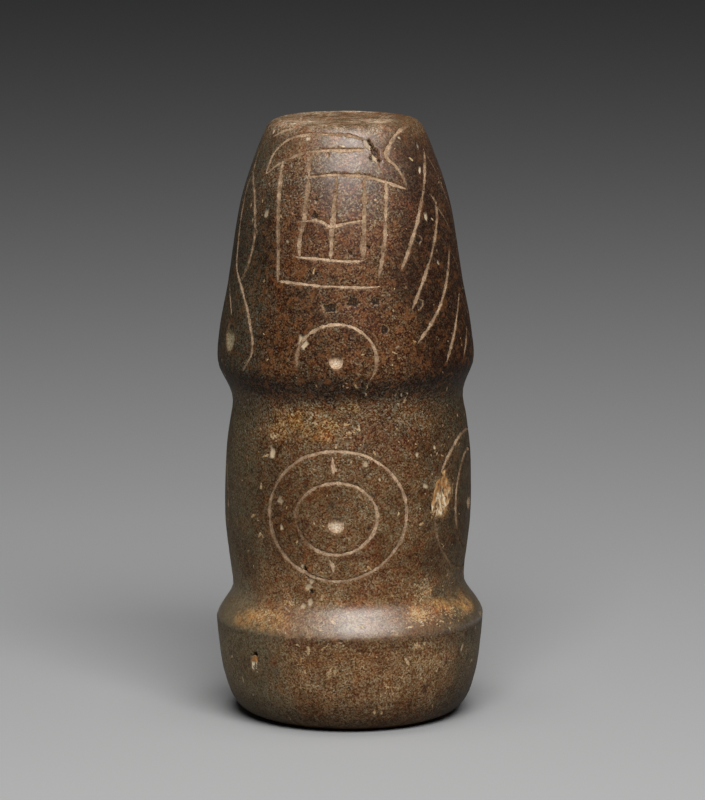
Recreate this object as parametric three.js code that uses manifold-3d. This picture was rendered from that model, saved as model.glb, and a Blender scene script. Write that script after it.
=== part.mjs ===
// Carved stone hand pestle, standing on its grinding face. The stone is one block: a rounded foot with a
// creased ledge, a swelling grip, a flared collar and a tapering head. Lines are incised and pits drilled
// all round it. The pale mineral that lies in each of them is a solid of its own, seated in its groove.
// Millimetres, +Z up. The origin is the middle of the grinding face, and the front looks towards -Y.
import * as THREE from "three";
import { mergeVertices } from "three/addons/utils/BufferGeometryUtils.js";
import Module from "manifold-3d";

const wasm = await Module();
wasm.setup();
const { degToRad, smoothstep } = THREE.MathUtils;

// Outline of the stone, as [radius, height] points from the foot to the top
const HEIGHT = 165;
const FOOT_RADIUS = 26;
const TOP_RADIUS = 18.3;
const CREASE = [36.9, 27.5];
const COVE = [32, 37.4];
const NECK = [31.8, 87.2];
const COLLAR = [35.35, 99.6];
const HEAD_FOOT = [35.2, 103];
const BELLY = [[FOOT_RADIUS, 0], [30.6, 2.2], [33.2, 6], [35.2, 13], [36.3, 21], CREASE];
const LEDGE = [CREASE, [35.8, 30], [33.7, 33], [32.3, 35.3], COVE];
const GRIP = [COVE, [32.3, 41], [33.1, 47], [33.9, 54.5], [34.1, 64], [33.7, 74], [32.7, 82], NECK];
const FLARE = [NECK, [32.1, 90.4], [33.5, 93.9], [34.9, 96.8], COLLAR, HEAD_FOOT];
const TAPER = [[34.2, 110.5], [32.5, 119.6], [30.9, 130], [29.3, 139.8], [27.3, 147.6], [24.8, 154.8]];
const RIM = [[22.3, 161], [20.7, 163.9], [TOP_RADIUS, HEIGHT]];
const OUTLINE = [
  { points: BELLY, steps: 7 },
  { points: [...LEDGE, ...GRIP.slice(1), ...FLARE.slice(1)], steps: 20 },
  { points: [HEAD_FOOT, ...TAPER, ...RIM], steps: 11 },
];
const SIDES = 40;
const FINE_DETAIL = 8;

// Hand work: the grip and head lean to the left, and the ledge and collar rise to the right
const GRIP_LEAN = 0.5;
const GRIP_LEAN_SPAN = [29, 43];
const HEAD_LEAN = 0.8;
const HEAD_LEAN_SPAN = [82, 107];
const TILT = 0.018;
const TILT_START = [3, 27];
const TILT_END = [105, 160];

// Incised lines: width at the surface, depth, and how far the fill keeps from the walls and below the surface
const LINE = { width: 1.3, depth: 0.8 };
const FINE = { width: 0.9, depth: 0.65 };
const WALL_TAPER = 0.3;
const FILL_GAP = 0.15;
const CUT_PROUD = 0.8;
const LINE_STEP = 6;
const ARC_STEP = 4.2;
const LENGTH_SAMPLES = 40;

// A drilled pit, as [share of its radius, share of its depth] points from the middle of its floor to its lip
const BOWL = [[0, -1], [0.5, -0.88], [0.82, -0.5], [1, 0]];
const PIT_PROUD = 1.5;
const PIT_SIDES = 16;

// Marks on the head, as [turn in degrees, height] points. Turn 0 is the front and turns rise to the right.
const WINDOW = [
  { points: [[-56, 151.4], [-43, 155.2], [-24, 158.2], [-3, 158.8], [14, 158.9]], cut: LINE },
  {
    points: [
      [-56, 151.4], [-53.5, 157.2], [-44.5, 160.8], [-32, 162.3],
      [-14, 162.8], [4, 162.5], [13, 161.3],
    ],
    cut: LINE,
  },
  { points: [[-43, 155.2], [-39.6, 145], [-36.4, 133], [-34.6, 124]], cut: LINE },
  { points: [[-35.5, 124], [-22, 123.7], [-7, 123.1], [17, 122.8]], cut: LINE },
  { points: [[24.5, 150.8], [22, 140], [19, 130], [16.5, 125.2]], cut: LINE },
  { points: [[-23.5, 158.2], [-22, 151.8]], cut: LINE },
  { points: [[-22.5, 151.8], [-8, 152.4], [10, 152.1], [24, 150.5], [38, 148]], cut: LINE },
  {
    points: [
      [58, 164.3], [46, 163.5], [37, 161.8], [30.5, 159.3],
      [27.8, 156.8], [33, 154.3], [36.5, 151.3], [38, 148],
    ],
    cut: LINE,
  },
  { points: [[-22, 151.8], [-22, 143], [-24, 135], [-23.5, 130.8]], cut: LINE },
  { points: [[-5, 152.3], [-6, 144], [-7, 138], [-7, 130.2]], cut: LINE },
  { points: [[11.8, 152], [10.4, 143], [9.8, 136], [8.7, 130]], cut: LINE },
  { points: [[-26, 140.1], [-14, 140.4], [-8, 139.1], [-3, 139.4], [9.5, 140.5]], cut: LINE },
  { points: [[-27, 130.9], [-18, 130.5], [3, 129.8], [9.5, 130]], cut: LINE },
];
const RIM_LINE = [{ points: [[-61, 161.2], [-51, 163.1], [-40.5, 164.1]], cut: LINE }];
const CHEVRONS = [
  {
    near: [[64, 157.2], [58, 153], [46, 143.5], [36, 133.7], [29, 126.8]],
    far: [[64, 157.2], [70, 152.5], [76, 145], [86, 135], [97, 127]],
  },
  {
    near: [[56, 146], [59.3, 143.8], [58, 139.5], [50, 131.1], [41, 122.8], [33, 115.9]],
    far: [[58.5, 143.5], [68, 138], [78, 132], [88, 124.5], [98, 116.5]],
  },
  {
    near: [[66.5, 130], [60, 123], [52.3, 116.8], [42.8, 111.3], [34.8, 107]],
    far: [[66.5, 130], [75, 125.8], [86, 118], [100, 108]],
  },
  {
    near: [[72, 118], [65, 113], [58, 107], [51, 100.6]],
    far: [[72, 118], [82, 111], [94, 101.5]],
  },
  {
    near: [[74.5, 108.3], [70, 104], [66, 101.2]],
    far: [[74.5, 108.3], [79, 104.5], [83, 101.2]],
  },
];
const LOOP = [
  {
    points: [[-69, 160.8], [-76, 157.5], [-73, 151.1], [-62, 145.6], [-55, 137], [-56, 129], [-62.5, 122.3]],
    cut: LINE,
  },
  {
    points: [
      [-73, 151.1], [-77, 146.8], [-75, 141], [-73.5, 133], [-70, 126],
      [-62, 121.8], [-52, 115], [-47, 108.2], [-46.2, 104.5], [-48.6, 102], [-53, 98.9],
    ],
    cut: LINE,
  },
];
const STEM = [{ points: [[-78, 120.5], [-71, 116.4], [-66, 113]], cut: FINE }];
const STEM_PIT = { turn: -65, height: 107.2, halfWidth: 2.7, halfHeight: 3.6, depth: 1.6 };
const CROWN_LINES = [
  [[-11.8, 6], [-12.3, -11.5]],
  [[-4, 13], [-6, -13.5]],
  [[11, 9.5], [8.6, -8]],
];

// Half rings at the foot of the head, each over a drilled dot
const HALF_RING = { height: 103.5, halfTurn: 18, halfHeight: 9.7, start: -36, end: 196 };
const HALF_RING_DOT = { height: 103, halfWidth: 1.9, halfHeight: 1.9, depth: 1.3 };
const HALF_RING_TURNS = { front: -4, back: 172 };
const BACK_FRAME = [
  { points: [[154, 152], [154, 138], [153, 124]], cut: LINE },
  { points: [[153, 124], [172, 123.5], [191, 124]], cut: LINE },
  { points: [[191, 124], [190, 138], [190, 152]], cut: LINE },
  { points: [[190, 152], [172, 152.4], [154, 152]], cut: LINE },
  { points: [[172, 152.4], [172, 138], [172, 123.5]], cut: FINE },
];

// Ring motifs round the grip: their turn, the dot's height, and each ring's [height, half turn, half height],
// with the start and end of its sweep in degrees where a pocket in the stone breaks it
const RING_MOTIFS = [
  { side: "front", turn: -5.5, dot: 58.2, outer: [60.7, 33.3, 17.9], inner: [60.1, 19, 9.9] },
  { side: "right", turn: 77.5, dot: 59.5, outer: [60.4, 34, 19.2, -172, 149], inner: [60.4, 18, 13.8] },
  { side: "back", turn: 164, dot: 58.5, outer: [61, 33, 18], inner: [60.5, 19, 10] },
  { side: "left", turn: -109, dot: 58.5, outer: [61, 33, 18], inner: [60.5, 19, 10] },
];
const FULL_TURN = 360;
const RING_DOT = { halfWidth: 2.1, halfHeight: 2.1, depth: 1.5 };
const UPPER_TICK = [{ points: [[-7, 76.8], [-6.8, 72.2]], cut: LINE }];
const LOWER_TICK = [{ points: [[-9.3, 48.8], [-7.4, 47.4], [-6.8, 45]], cut: LINE }];

// Pale crystalline pockets in the stone
const POCKETS = [
  { name: "flank_inclusion", turn: 49, height: 63.8, halfWidth: 3.7, halfHeight: 5.4, depth: 1.8 },
  { name: "belly_inclusion", turn: -47, height: 18.8, halfWidth: 1.5, halfHeight: 2.4, depth: 1.5 },
];

// Finishes
const STONE_FINISH = { color: "#4a3427", roughness: 0.55, metalness: 0 };
const FILL_FINISH = { color: "#b59676", roughness: 0.9, metalness: 0 };
const CRYSTAL_FINISH = { color: "#c9a671", roughness: 0.7, metalness: 0 };

// The stone's surface

function outlinePoints(detail) {
  const stretches = OUTLINE.map(({ points, steps }) => {
    const curve = new THREE.SplineCurve(points.map(([radius, height]) => new THREE.Vector2(radius, height)));
    return curve.getPoints(steps * detail);
  });
  return stretches.flatMap((points, index) => (index === 0 ? points : points.slice(1)));
}

const fineOutline = outlinePoints(FINE_DETAIL);

function radiusAt(height) {
  const above = Math.max(1, fineOutline.findIndex((point) => point.y >= height));
  const low = fineOutline[above - 1];
  const high = fineOutline[above];
  return low.x + ((high.x - low.x) * (height - low.y)) / (high.y - low.y);
}

function handWork(point) {
  const { x, z } = point;
  point.z += TILT * x * smoothstep(z, ...TILT_START) * (1 - smoothstep(z, ...TILT_END));
  point.x -= GRIP_LEAN * smoothstep(z, ...GRIP_LEAN_SPAN) + HEAD_LEAN * smoothstep(z, ...HEAD_LEAN_SPAN);
  return point;
}

function onStone(turn, height) {
  const angle = degToRad(turn);
  const radius = radiusAt(height);
  return handWork(new THREE.Vector3(radius * Math.sin(angle), -radius * Math.cos(angle), height));
}

function outwardAt(turn, height) {
  const reach = 0.4;
  const along = onStone(turn + reach, height).sub(onStone(turn - reach, height));
  const upward = onStone(turn, height + reach).sub(onStone(turn, height - reach));
  return along.cross(upward).normalize();
}

// Solids

function solidOf(geometry) {
  geometry.deleteAttribute("normal");
  geometry.deleteAttribute("uv");
  const merged = mergeVertices(geometry);
  const corners = merged.index.array;
  const triangles = [];
  for (let i = 0; i < corners.length; i += 3) {
    const [a, b, c] = corners.slice(i, i + 3);
    if (a !== b && b !== c && c !== a) triangles.push(a, b, c);
  }
  const vertProperties = new Float32Array(merged.attributes.position.array);
  const triVerts = new Uint32Array(triangles);
  return new wasm.Manifold(new wasm.Mesh({ numProp: 3, vertProperties, triVerts }));
}

function meshOf(name, solid, finish) {
  const { vertProperties, triVerts } = solid.getMesh();
  const geometry = new THREE.BufferGeometry();
  geometry.setAttribute("position", new THREE.BufferAttribute(new Float32Array(vertProperties), 3));
  geometry.setIndex(new THREE.BufferAttribute(new Uint32Array(triVerts), 1));
  geometry.computeVertexNormals();
  const mesh = new THREE.Mesh(geometry, new THREE.MeshStandardMaterial(finish));
  mesh.name = name;
  return mesh;
}

function joined(solids) {
  return solids.reduce((whole, solid) => whole.add(solid));
}

function stoneBlock() {
  const axisFoot = new THREE.Vector2(0, 0);
  const axisTop = new THREE.Vector2(0, HEIGHT);
  const geometry = new THREE.LatheGeometry([axisFoot, ...outlinePoints(1), axisTop], SIDES);
  geometry.rotateX(Math.PI / 2);
  const places = geometry.attributes.position;
  const point = new THREE.Vector3();
  for (let i = 0; i < places.count; i += 1) {
    handWork(point.fromBufferAttribute(places, i));
    places.setXYZ(i, point.x, point.y, point.z);
  }
  return solidOf(geometry);
}

// A path is a list of frames: a place on the stone, the way on, the side to the right of it and the way out

function framesAlong(places, outs, closed) {
  const count = places.length;
  return places.map((place, i) => {
    const next = places[closed ? (i + 1) % count : Math.min(i + 1, count - 1)];
    const last = places[closed ? (i + count - 1) % count : Math.max(i - 1, 0)];
    const onward = next.clone().sub(last).normalize();
    const side = onward.clone().cross(outs[i]).normalize();
    return { place, onward, side, out: outs[i] };
  });
}

function tracedPath(points) {
  const curve = new THREE.SplineCurve(points.map(([turn, height]) => new THREE.Vector2(turn, height)));
  const rough = curve.getPoints(LENGTH_SAMPLES).map(({ x, y }) => onStone(x, y));
  const length = rough.reduce((sum, point, i) => sum + (i ? point.distanceTo(rough[i - 1]) : 0), 0);
  const steps = Math.max(2, Math.round(length / LINE_STEP));
  const samples = curve.getSpacedPoints(steps);
  const places = samples.map(({ x, y }) => onStone(x, y));
  const outs = samples.map(({ x, y }) => outwardAt(x, y));
  return framesAlong(places, outs, false);
}

function arcPath(turn, height, halfTurn, halfHeight, start, end) {
  const closed = end - start >= FULL_TURN;
  const halfWidth = degToRad(halfTurn) * radiusAt(height);
  const girth = degToRad(end - start) * Math.hypot(halfWidth, halfHeight) * Math.SQRT1_2;
  const steps = Math.round(girth / ARC_STEP);
  const samples = [];
  for (let i = 0; i < (closed ? steps : steps + 1); i += 1) {
    const angle = degToRad(start + ((end - start) * i) / steps);
    samples.push([turn + halfTurn * Math.cos(angle), height + halfHeight * Math.sin(angle)]);
  }
  const places = samples.map((sample) => onStone(...sample));
  const outs = samples.map((sample) => outwardAt(...sample));
  return framesAlong(places, outs, closed);
}

function crownPath([from, to]) {
  const places = [from, to].map(([x, y]) => handWork(new THREE.Vector3(x, y, HEIGHT)));
  const outs = places.map(() => new THREE.Vector3(0, 0, 1));
  return framesAlong(places, outs, false);
}

// Sweeps a section of [across, outward] corners, counter-clockwise as seen looking onward, along a path
function sweep(frames, section, closed) {
  const corners = frames.flatMap(({ place, side, out }) =>
    section.map(([across, outward]) =>
      place.clone().addScaledVector(side, across).addScaledVector(out, outward),
    ),
  );
  const size = section.length;
  const indices = [];
  const lastStart = closed ? frames.length : frames.length - 1;
  for (let i = 0; i < lastStart; i += 1) {
    const here = i * size;
    const ahead = ((i + 1) % frames.length) * size;
    for (let k = 0; k < size; k += 1) {
      const next = (k + 1) % size;
      indices.push(here + k, ahead + k, ahead + next, here + k, ahead + next, here + next);
    }
  }
  if (!closed) {
    const end = (frames.length - 1) * size;
    for (let k = 1; k < size - 1; k += 1) {
      indices.push(0, k, k + 1, end, end + k + 1, end + k);
    }
  }
  const geometry = new THREE.BufferGeometry().setFromPoints(corners);
  geometry.setIndex(indices);
  return solidOf(geometry);
}

function lineSection({ width, depth }, low, high, inset) {
  const half = (level) => (width / 2) * (1 + (WALL_TAPER * level) / depth) - inset;
  return [[-half(low), low], [half(low), low], [half(high), high], [-half(high), high]];
}

function cutLine(frames, cut, closed) {
  return sweep(frames, lineSection(cut, -cut.depth, CUT_PROUD, 0), closed);
}

function fillLine(frames, cut, closed) {
  const inner = frames.map((frame) => ({ ...frame, place: frame.place.clone() }));
  if (!closed) {
    inner[0].place.addScaledVector(inner[0].onward, FILL_GAP);
    inner.at(-1).place.addScaledVector(inner.at(-1).onward, -FILL_GAP);
  }
  return sweep(inner, lineSection(cut, FILL_GAP - cut.depth, -FILL_GAP, FILL_GAP), closed);
}

// A figure is what is cut out of the stone, and the solid that lies in the cut

function lineFigure(name, lines) {
  const cutters = lines.map(({ frames, cut, closed }) => cutLine(frames, cut, closed));
  const fills = lines.map(({ frames, cut, closed }) => fillLine(frames, cut, closed));
  return { name, finish: FILL_FINISH, cutter: joined(cutters), fill: joined(fills) };
}

function tracedFigure(name, strokes) {
  const lines = strokes.map(({ points, cut }) => ({ frames: tracedPath(points), cut, closed: false }));
  return lineFigure(name, lines);
}

function ringFigure(name, turn, [height, halfTurn, halfHeight, start = 0, end = FULL_TURN]) {
  const frames = arcPath(turn, height, halfTurn, halfHeight, start, end);
  return lineFigure(name, [{ frames, cut: LINE, closed: end - start >= FULL_TURN }]);
}

function pitSolid(turn, height, halfWidth, halfHeight, profile) {
  const points = profile.map(([across, outward]) => new THREE.Vector2(across, outward));
  const geometry = new THREE.LatheGeometry(points, PIT_SIDES);
  geometry.scale(halfWidth, 1, halfHeight);
  const out = outwardAt(turn, height);
  const side = new THREE.Vector3(0, 0, 1).cross(out).normalize();
  const down = side.clone().cross(out);
  geometry.applyMatrix4(new THREE.Matrix4().makeBasis(side, out, down).setPosition(onStone(turn, height)));
  return solidOf(geometry);
}

function pitFigure(name, { turn, height, halfWidth, halfHeight, depth }, finish) {
  const lip = BOWL.map(([across, down]) => [across, down * depth]);
  const cutter = [...lip, [1, PIT_PROUD], [0, PIT_PROUD]];
  const floor = BOWL.slice(0, -1).map(([across, down]) => [across, down * (depth - FILL_GAP)]);
  const plug = [...floor, [0, floor.at(-1)[1]]];
  return {
    name,
    finish,
    cutter: pitSolid(turn, height, halfWidth, halfHeight, cutter),
    fill: pitSolid(turn, height, halfWidth - FILL_GAP, halfHeight - FILL_GAP, plug),
  };
}

// The figures on the head, from the crown down

function crownFigures() {
  return CROWN_LINES.map((line, i) =>
    lineFigure(`crown_line_${i + 1}_fill`, [{ frames: crownPath(line), cut: FINE, closed: false }]),
  );
}

function chevronFigures() {
  return CHEVRONS.map(({ near, far }, i) => {
    const strokes = [{ points: near, cut: LINE }, { points: far, cut: FINE }];
    return tracedFigure(`chevron_${i + 1}_fill`, strokes);
  });
}

function halfRingFigures() {
  const { height, halfTurn, halfHeight, start, end } = HALF_RING;
  return Object.entries(HALF_RING_TURNS).flatMap(([side, turn]) => {
    const frames = arcPath(turn, height, halfTurn, halfHeight, start, end);
    return [
      lineFigure(`${side}_half_ring_fill`, [{ frames, cut: LINE, closed: false }]),
      pitFigure(`${side}_half_ring_dot_fill`, { turn, ...HALF_RING_DOT }, FILL_FINISH),
    ];
  });
}

// The figures round the grip

function ringMotifFigures() {
  return RING_MOTIFS.flatMap(({ side, turn, dot, outer, inner }) => [
    ringFigure(`${side}_outer_ring_fill`, turn, outer),
    ringFigure(`${side}_inner_ring_fill`, turn, inner),
    pitFigure(`${side}_ring_dot_fill`, { turn, height: dot, ...RING_DOT }, FILL_FINISH),
  ]);
}

const figures = [
  ...crownFigures(),
  tracedFigure("rim_line_fill", RIM_LINE),
  tracedFigure("window_fill", WINDOW),
  ...chevronFigures(),
  tracedFigure("loop_fill", LOOP),
  tracedFigure("stem_fill", STEM),
  pitFigure("stem_pit_fill", STEM_PIT, FILL_FINISH),
  tracedFigure("back_frame_fill", BACK_FRAME),
  ...halfRingFigures(),
  ...ringMotifFigures(),
  tracedFigure("upper_tick_fill", UPPER_TICK),
  tracedFigure("lower_tick_fill", LOWER_TICK),
  ...POCKETS.map((pocket) => pitFigure(pocket.name, pocket, CRYSTAL_FINISH)),
];

const stone = stoneBlock().subtract(joined(figures.map(({ cutter }) => cutter)));
const pestle = new THREE.Group();
pestle.add(meshOf("stone_body", stone, STONE_FINISH));
for (const { name, fill, finish } of figures) {
  pestle.add(meshOf(name, fill, finish));
}

export default pestle;
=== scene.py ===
"""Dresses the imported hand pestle: a hand-ground, chipped stone with pale matter in its carving."""

import functools
import itertools
import math
from dataclasses import dataclass
from types import SimpleNamespace

import bmesh
import bpy
import numpy as np
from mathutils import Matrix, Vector
from mathutils.kdtree import KDTree


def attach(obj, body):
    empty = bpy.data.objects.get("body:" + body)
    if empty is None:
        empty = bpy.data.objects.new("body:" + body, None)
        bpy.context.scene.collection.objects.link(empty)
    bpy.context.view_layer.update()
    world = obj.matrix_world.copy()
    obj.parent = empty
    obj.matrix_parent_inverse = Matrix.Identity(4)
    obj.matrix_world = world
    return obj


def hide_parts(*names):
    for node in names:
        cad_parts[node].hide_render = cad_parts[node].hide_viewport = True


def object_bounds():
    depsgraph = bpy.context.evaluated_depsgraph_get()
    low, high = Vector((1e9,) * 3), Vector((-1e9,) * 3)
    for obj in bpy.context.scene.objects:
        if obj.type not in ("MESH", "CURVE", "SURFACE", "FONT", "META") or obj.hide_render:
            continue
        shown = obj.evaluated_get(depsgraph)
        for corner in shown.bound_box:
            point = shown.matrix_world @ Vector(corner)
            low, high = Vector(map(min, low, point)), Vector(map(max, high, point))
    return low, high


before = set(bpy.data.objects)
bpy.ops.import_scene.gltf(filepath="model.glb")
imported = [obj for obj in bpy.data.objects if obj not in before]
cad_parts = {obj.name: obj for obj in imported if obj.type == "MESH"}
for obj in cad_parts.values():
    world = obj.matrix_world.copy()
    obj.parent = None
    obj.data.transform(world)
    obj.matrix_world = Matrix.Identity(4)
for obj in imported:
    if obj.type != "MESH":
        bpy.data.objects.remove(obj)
CAD_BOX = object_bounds()
MM = 0.001

# Camera, in millimetres: a long lens a little above the pestle
CAMERA_PLACE = (0, -1400, 316.6)
CAMERA_AIM = (0.7, 0, 87)
CAMERA_LENS = 232

# Outline of the stone, as (radius, height) points in millimetres, as in the solids
HEIGHT = (CAD_BOX[1][2] - CAD_BOX[0][2]) / MM
FOOT_RADIUS = 26
TOP_RADIUS = 18.3
CREASE = (36.9, 27.5)
HEAD_FOOT = (35.2, 103)
BELLY = [(FOOT_RADIUS, 0), (30.6, 2.2), (33.2, 6), (35.2, 13), (36.3, 21), CREASE]
GRIP = [
    CREASE, (35.8, 30), (33.7, 33), (32.3, 35.3), (32, 37.4), (32.3, 41), (33.1, 47), (33.9, 54.5),
    (34.1, 64), (33.7, 74), (32.7, 82), (31.8, 87.2), (32.1, 90.4), (33.5, 93.9), (34.9, 96.8),
    (35.35, 99.6), HEAD_FOOT,
]
HEAD = [
    HEAD_FOOT, (34.2, 110.5), (32.5, 119.6), (30.9, 130), (29.3, 139.8), (27.3, 147.6), (24.8, 154.8),
    (22.3, 161), (20.7, 163.9), (TOP_RADIUS, HEIGHT),
]
SPLINE_STEPS = 40

# Hand work: how the grip and head lean, how the ledge and collar tilt, and ripples as (height, size) waves
GRIP_LEAN, GRIP_LEAN_SPAN = 0.5, (29, 43)
HEAD_LEAN, HEAD_LEAN_SPAN = 0.8, (82, 107)
TILT, TILT_START, TILT_END = 0.018, (3, 27), (105, 160)
SURFACE_RIPPLES, SURFACE_SUNK = ((0.12, 17), (0.05, 6), (0.018, 1.7)), 0.1
SWAY_RIPPLES, WIDTH_RIPPLES = ((0.16, 4.5), (0.07, 1.3)), ((0.25, 3.5), (0.5, 0.8))
SHADE_RIPPLES, FILL_RIPPLES = ((0.22, 1.7),), ((0.03, 0.6), (0.04, 2.5))

# Carved lines: (width, depth) of the cut, how pale it is along its run, and its points as (turn in degrees,
# height), with turn 0 at the front, rising to the right
BROAD = (1.0, 0.42)
LINE = (0.85, 0.5)
FINE = (0.5, 0.34)
WINDOW = [
    (LINE, (0.65, 0.5, 0.6, 0.7, 0.75), [(-56, 151.4), (-43, 155.2), (-24, 158.2), (-3, 158.8), (14, 158.9)]),
    (LINE, (0.7, 0.65, 0.65, 0.6, 0.55, 0.5, 0.5), [
        (-56, 151.4), (-53.5, 157.2), (-44.5, 160.8), (-32, 162.3), (-14, 162.8), (4, 162.5), (13, 161.3),
    ]),
    (BROAD, (0.65, 0.6, 0.45, 0.6), [(-43, 155.2), (-39.6, 145), (-36.4, 133), (-34.6, 124)]),
    (LINE, (0.55, 0.8, 0.8, 0.75, 0.85), [(-35.5, 124), (-22, 123.7), (-7, 123.1), (17, 122.8)]),
    (LINE, (0.7, 0.65, 0.45), [(24.5, 150.8), (22, 140), (19, 130), (16.5, 125.2)]),
    (BROAD, (0.55, 0.5), [(-23.5, 158.2), (-22, 151.8)]),
    (LINE, (0.65, 0.55, 0.65, 0.75, 0.6), [(-22.5, 151.8), (-8, 152.4), (10, 152.1), (24, 150.5), (38, 148)]),
    (LINE, (0.4, 0.45, 0.65, 0.6, 0.4), [
        (58, 164.3), (46, 163.5), (37, 161.8), (30.5, 159.3),
        (27.8, 156.8), (33, 154.3), (36.5, 151.3), (38, 148),
    ]),
    (BROAD, (0.6, 0.55, 0.65), [(-22, 151.8), (-22, 143), (-24, 135), (-23.5, 130.8)]),
    (BROAD, (0.45, 0.55, 0.65), [(-5, 152.3), (-6, 144), (-7, 138), (-7, 130.2)]),
    (BROAD, (0.5, 0.55, 0.55), [(11.8, 152), (10.4, 143), (9.8, 136), (8.7, 130)]),
    (LINE, (0.5, 0.6, 0.85, 0.7, 0.85), [(-26, 140.1), (-14, 140.4), (-8, 139.1), (-3, 139.4), (9.5, 140.5)]),
    (LINE, (0.65, 0.85, 0.85, 0.7), [(-27, 130.9), (-18, 130.5), (3, 129.8), (9.5, 130)]),
]
RIM_LINE = [(LINE, (0.7, 0.6), [(-61, 161.2), (-51, 163.1), (-40.5, 164.1)])]
CHEVRONS = [
    ([(64, 157.2), (58, 153), (46, 143.5), (36, 133.7), (29, 126.8)],
     [(64, 157.2), (70, 152.5), (76, 145), (86, 135), (97, 127)]),
    ([(56, 146), (59.3, 143.8), (58, 139.5), (50, 131.1), (41, 122.8), (33, 115.9)],
     [(58.5, 143.5), (68, 138), (78, 132), (88, 124.5), (98, 116.5)]),
    ([(66.5, 130), (60, 123), (52.3, 116.8), (42.8, 111.3), (34.8, 107)],
     [(66.5, 130), (75, 125.8), (86, 118), (100, 108)]),
    ([(72, 118), (65, 113), (58, 107), (51, 100.6)], [(72, 118), (82, 111), (94, 101.5)]),
    ([(74.5, 108.3), (70, 104), (66, 101.2)], [(74.5, 108.3), (79, 104.5), (83, 101.2)]),
]
CHEVRON_PALENESS, FAR_PALENESS = (0.5, 0.55, 0.62, 0.55), (0.4, 0.3)
LOOP = [
    (LINE, (0.35, 0.4, 0.5, 0.5, 0.35), [
        (-69, 160.8), (-76, 157.5), (-73, 151.1), (-62, 145.6), (-55, 137), (-56, 129), (-62.5, 122.3),
    ]),
    (LINE, (0.4, 0.6, 0.75, 0.8, 0.7, 0.65, 0.55), [
        (-73, 151.1), (-77, 146.8), (-75, 141), (-73.5, 133), (-70, 126), (-62, 121.8), (-52, 115),
        (-47, 108.2), (-46.2, 104.5), (-48.6, 102), (-53, 98.9),
    ]),
]
STEM = [(FINE, (0.85, 0.8), [(-78, 120.5), (-71, 116.4), (-66, 113)])]
BACK_FRAME = [
    (LINE, (0.6, 0.5), [(154, 152), (154, 138), (153, 124)]),
    (LINE, (0.7, 0.8), [(153, 124), (172, 123.5), (191, 124)]),
    (LINE, (0.5, 0.6), [(191, 124), (190, 138), (190, 152)]),
    (LINE, (0.6, 0.6), [(190, 152), (172, 152.4), (154, 152)]),
    (FINE, (0.5, 0.5), [(172, 152.4), (172, 138), (172, 123.5)]),
]
UPPER_TICK = [(BROAD, (0.85, 0.95), [(-7, 76.8), (-6.8, 72.2)])]
LOWER_TICK = [(BROAD, (0.95, 0.85), [(-9.3, 48.8), (-7.4, 47.4), (-6.8, 45)])]
CROWN_LINES = [((-11.8, 6), (-12.3, -11.5)), ((-4, 13), (-6, -13.5)), ((11, 9.5), (8.6, -8))]
HALF_RING_TURNS = {"front": -4, "back": 172}
HALF_RING_HEIGHT, HALF_RING_SIZE, HALF_RING_SWEEP = 103.5, (18, 9.7), (-36, 196)
HALF_RING_PALENESS = (0.6, 0.55, 0.55, 0.85, 0.75, 0.6, 0.5, 0.45)

# Ring motifs: turn, the dot's height and paleness, then for the outer and inner ring its height, half turn,
# half height and, where a pocket in the stone breaks it, its sweep in degrees
RING_MOTIFS = {
    "front": (-5.5, (58.2, 1.5), (60.7, 33.3, 17.9), (60.1, 19, 9.9)),
    "right": (77.5, (59.5, 0.9), (60.4, 34, 19.2, -172, 149), (60.4, 18, 13.8)),
    "back": (164, (58.5, 1.3), (61, 33, 18), (60.5, 19, 10)),
    "left": (-109, (58.5, 1.2), (61, 33, 18), (60.5, 19, 10)),
}

# How pale each ring is at even steps, from its right side over its top, or from the start of its sweep
RING_PALENESS = {
    "front_outer": (0.7, 0.7, 0.7, 0.65, 0.6, 0.45, 0.6, 0.6, 0.75, 0.65, 0.6, 0.6),
    "front_inner": (0.7, 0.7, 0.7, 0.65, 0.6, 0.55, 0.25, 0.35, 0.7, 0.75, 0.75, 0.75),
    "right_outer": (0.45, 0.3, 0.12, 0.2, 0.4, 0.5, 0.5, 0.5, 0.5, 0.6, 0.65),
    "right_inner": (0.5, 0.5, 0.5, 0.5, 0.55, 0.55, 0.5, 0.3, 0.1, 0.3, 0.5, 0.5),
    "back_outer": (0.6, 0.5, 0.7, 0.8, 0.6, 0.3, 0.5, 0.6, 0.7, 0.7, 0.4, 0.5),
    "back_inner": (0.6, 0.6, 0.7, 0.8, 0.6, 0.5, 0.4, 0.6, 0.7, 0.7, 0.2, 0.4),
    "left_outer": (0.5, 0.6, 0.7, 0.8, 0.5, 0.5, 0.6, 0.4, 0.6, 0.7, 0.6, 0.5),
    "left_inner": (0.4, 0.6, 0.7, 0.8, 0.6, 0.5, 0.5, 0.6, 0.7, 0.5, 0.3, 0.3),
}

# Pits that hold pale matter: node, turn, height, half width, half height, depth, paleness, how full it is
PITS = [("stem_pit_fill", -65, 107.2, 2.7, 3.8, 1.3, 0.8, 0.2)]
PITS += [
    (f"{side}_half_ring_dot_fill", turn, 103, 1.95, 1.95, 1.0, 1.4, 0.3)
    for side, turn in HALF_RING_TURNS.items()
]
PITS += [
    (f"{side}_ring_dot_fill", turn, height, 2.2, 2.2, 1.1, paleness, 0.5)
    for side, (turn, (height, paleness), *_) in RING_MOTIFS.items()
]
POCKETS = [
    ("flank_inclusion", 49, 63.8, 3.3, 5.4, 1.5, 1, 0.75),
    ("belly_inclusion", -46.8, 18.5, 1.3, 1.9, 1.0, 1.6, 0.75),
]

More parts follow.
